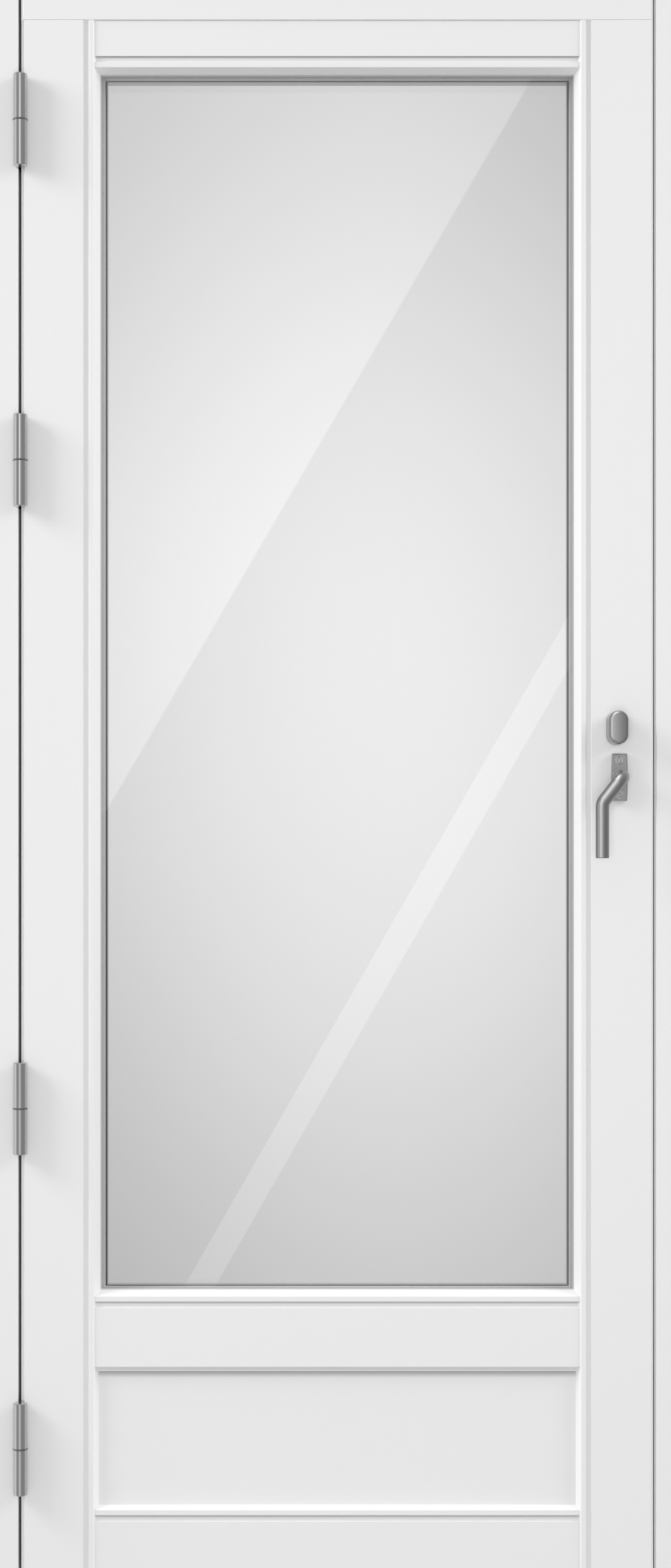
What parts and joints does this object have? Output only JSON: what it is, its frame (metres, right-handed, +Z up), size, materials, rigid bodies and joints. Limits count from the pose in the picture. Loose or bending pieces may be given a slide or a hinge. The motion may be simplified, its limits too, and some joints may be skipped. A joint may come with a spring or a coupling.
{
  "type": "balcony door",
  "caption": "White painted wooden balcony door in its frame: tall glazed leaf above a low panel, swinging inwards on lift-off hinges, with a cranked lever handle and an oval thumb-turn.",
  "frame": {"origin": "middle of the threshold's underside, half way through the frame's depth", "axes": "+X across the doorway from the hinge side to the lock side as seen from the room, +Y out through the wall, +Z up"},
  "size_m": [0.89, 0.1654, 2.09],
  "materials": {
    "white_paint": "satin",
    "clear_glass": "polished",
    "hinge_metal": "satin",
    "lock_metal": "satin",
    "satin_steel": "satin",
    "seal_rubber": "matte",
    "spacer_grey": "matte",
    "spacer_dark": "matte"
  },
  "bodies": {
    "frame": {"frame_head": "white_paint", "frame_jamb_hinge": "white_paint", "frame_jamb_lock": "white_paint", "frame_threshold": "white_paint", "frame_seal": "seal_rubber", "strike_plates": "lock_metal", "hinge_1_frame_half": "hinge_metal", "hinge_2_frame_half": "hinge_metal", "hinge_3_frame_half": "hinge_metal", "hinge_4_frame_half": "hinge_metal"},
    "leaf": {"leaf_stile_hinge": "white_paint", "leaf_stile_lock": "white_paint", "leaf_top_band": "white_paint", "leaf_top_rail": "white_paint", "leaf_mid_rail": "white_paint", "leaf_bottom_rail": "white_paint", "leaf_panel": "white_paint", "glass_bead_hinge": "white_paint", "glass_bead_lock": "white_paint", "glass_bead_bottom": "white_paint", "glass_bead_top": "white_paint", "panel_bead_hinge": "white_paint", "panel_bead_lock": "white_paint", "panel_bead_bottom": "white_paint", "panel_bead_top": "white_paint", "glass_inner": "clear_glass", "glass_middle": "clear_glass", "glass_outer": "clear_glass", "hinge_1_leaf_half": "hinge_metal", "hinge_2_leaf_half": "hinge_metal", "hinge_3_leaf_half": "hinge_metal", "hinge_4_leaf_half": "hinge_metal", "lock_faceplate": "lock_metal", "lock_bolts": "lock_metal", "handle_rose": "satin_steel", "turn_bush": "satin_steel", "gasket_inner": "seal_rubber", "gasket_outer": "seal_rubber", "spacer_inner": "spacer_grey", "spacer_outer": "spacer_dark"},
    "handle": {"handle_lever": "satin_steel"},
    "thumb_turn": {"thumb_turn": "satin_steel"}
  },
  "joints": [
    {"name": "leaf_swing", "type": "hinge", "parent": "frame", "child": "leaf", "pos_m": [-0.399, -0.068, 1.04], "axis": [0, 0, -1], "range_deg": [0, 170]},
    {"name": "handle_turn", "type": "hinge", "parent": "leaf", "child": "handle", "pos_m": [0.356, -0.0995, 1.049], "axis": [0, 1, 0], "range_deg": [0, 90]},
    {"name": "thumb_turn_turn", "type": "hinge", "parent": "leaf", "child": "thumb_turn", "pos_m": [0.3515, -0.08, 1.1105], "axis": [0, 1, 0], "range_deg": [0, 90]}
  ]
}
